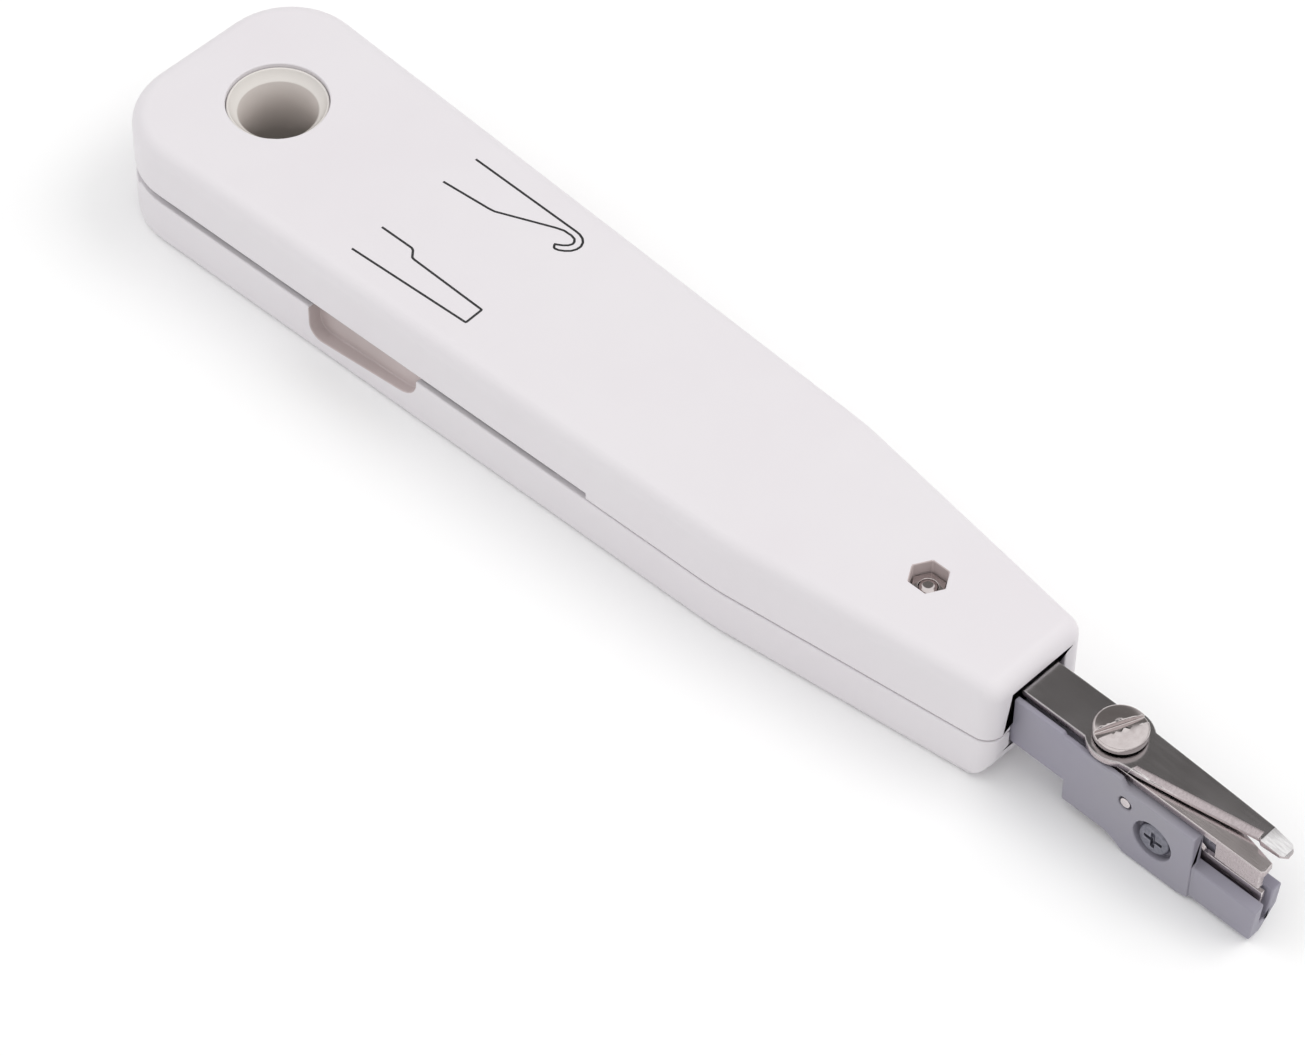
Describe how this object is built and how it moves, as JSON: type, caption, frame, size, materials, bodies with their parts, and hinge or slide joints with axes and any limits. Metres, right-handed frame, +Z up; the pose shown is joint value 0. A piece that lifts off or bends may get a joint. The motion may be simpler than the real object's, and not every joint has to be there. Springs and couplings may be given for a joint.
{
  "type": "punch down tool",
  "caption": "Hand insertion tool for telecom terminal blocks: flat handle, fold-out hook and release blade, spring-loaded head with scissor blades and wire guide.",
  "frame": {"origin": "middle of the tool's footprint, on the surface that it lies on", "axes": "+X from the hanging hole towards the head, +Y towards the hook's side, +Z up out of the front face"},
  "size_m": [0.1764, 0.0328, 0.0163],
  "materials": {
    "white_abs": "satin moulded, fine grain",
    "ivory_plastic": "semi-gloss",
    "grey_plastic": "satin",
    "dark_steel": "ground and polished",
    "steel": "ground",
    "nickel": "nickel plated",
    "brass": "turned"
  },
  "bodies": {
    "handle": {"upper_shell": "white_abs", "lower_shell": "white_abs", "eyelet_sleeve": "ivory_plastic", "eyelet_collar": "ivory_plastic", "tool_washer_upper": "steel", "tool_washer_lower": "steel", "housing_nut": "nickel", "housing_screw": "nickel", "cam_plate": "dark_steel", "spring_seat": "steel", "main_spring": "steel"},
    "head": {"head_block": "grey_plastic", "spring_rod": "steel", "upper_blade": "dark_steel", "blade_dowel": "steel", "pivot_screw": "nickel", "pivot_bush": "steel", "pivot_insert": "brass", "insertion_blade": "steel", "clamp_screw": "nickel", "clamp_nut": "nickel", "cross_pin": "steel"},
    "scissor": {"lower_blade": "steel"},
    "hook": {"hook_tool": "steel"},
    "release": {"release_blade": "steel"}
  },
  "joints": [
    {"name": "head_slide", "type": "slide", "parent": "handle", "child": "head", "axis": [-1, 0, 0], "range_m": [0, 0.007], "stiffness_N_per_m": 2500, "springref_m": -0.004, "deforming": ["main_spring"]},
    {"name": "scissor_turn", "type": "hinge", "parent": "head", "child": "scissor", "pos_m": [0.06405, 0, 0.0113], "axis": [0, 0, 1], "range_deg": [0, 5]},
    {"name": "hook_fold", "type": "hinge", "parent": "handle", "child": "hook", "pos_m": [-0.07335, 0, 0.0072], "axis": [0, 0, 1], "range_deg": [0, 180]},
    {"name": "release_fold", "type": "hinge", "parent": "handle", "child": "release", "pos_m": [-0.07335, 0, 0.0072], "axis": [0, 0, -1], "range_deg": [0, 180]}
  ],
  "couplings": [
    {"joint": "scissor_turn", "follows": "head_slide", "rad_per_m": 12.46}
  ]
}
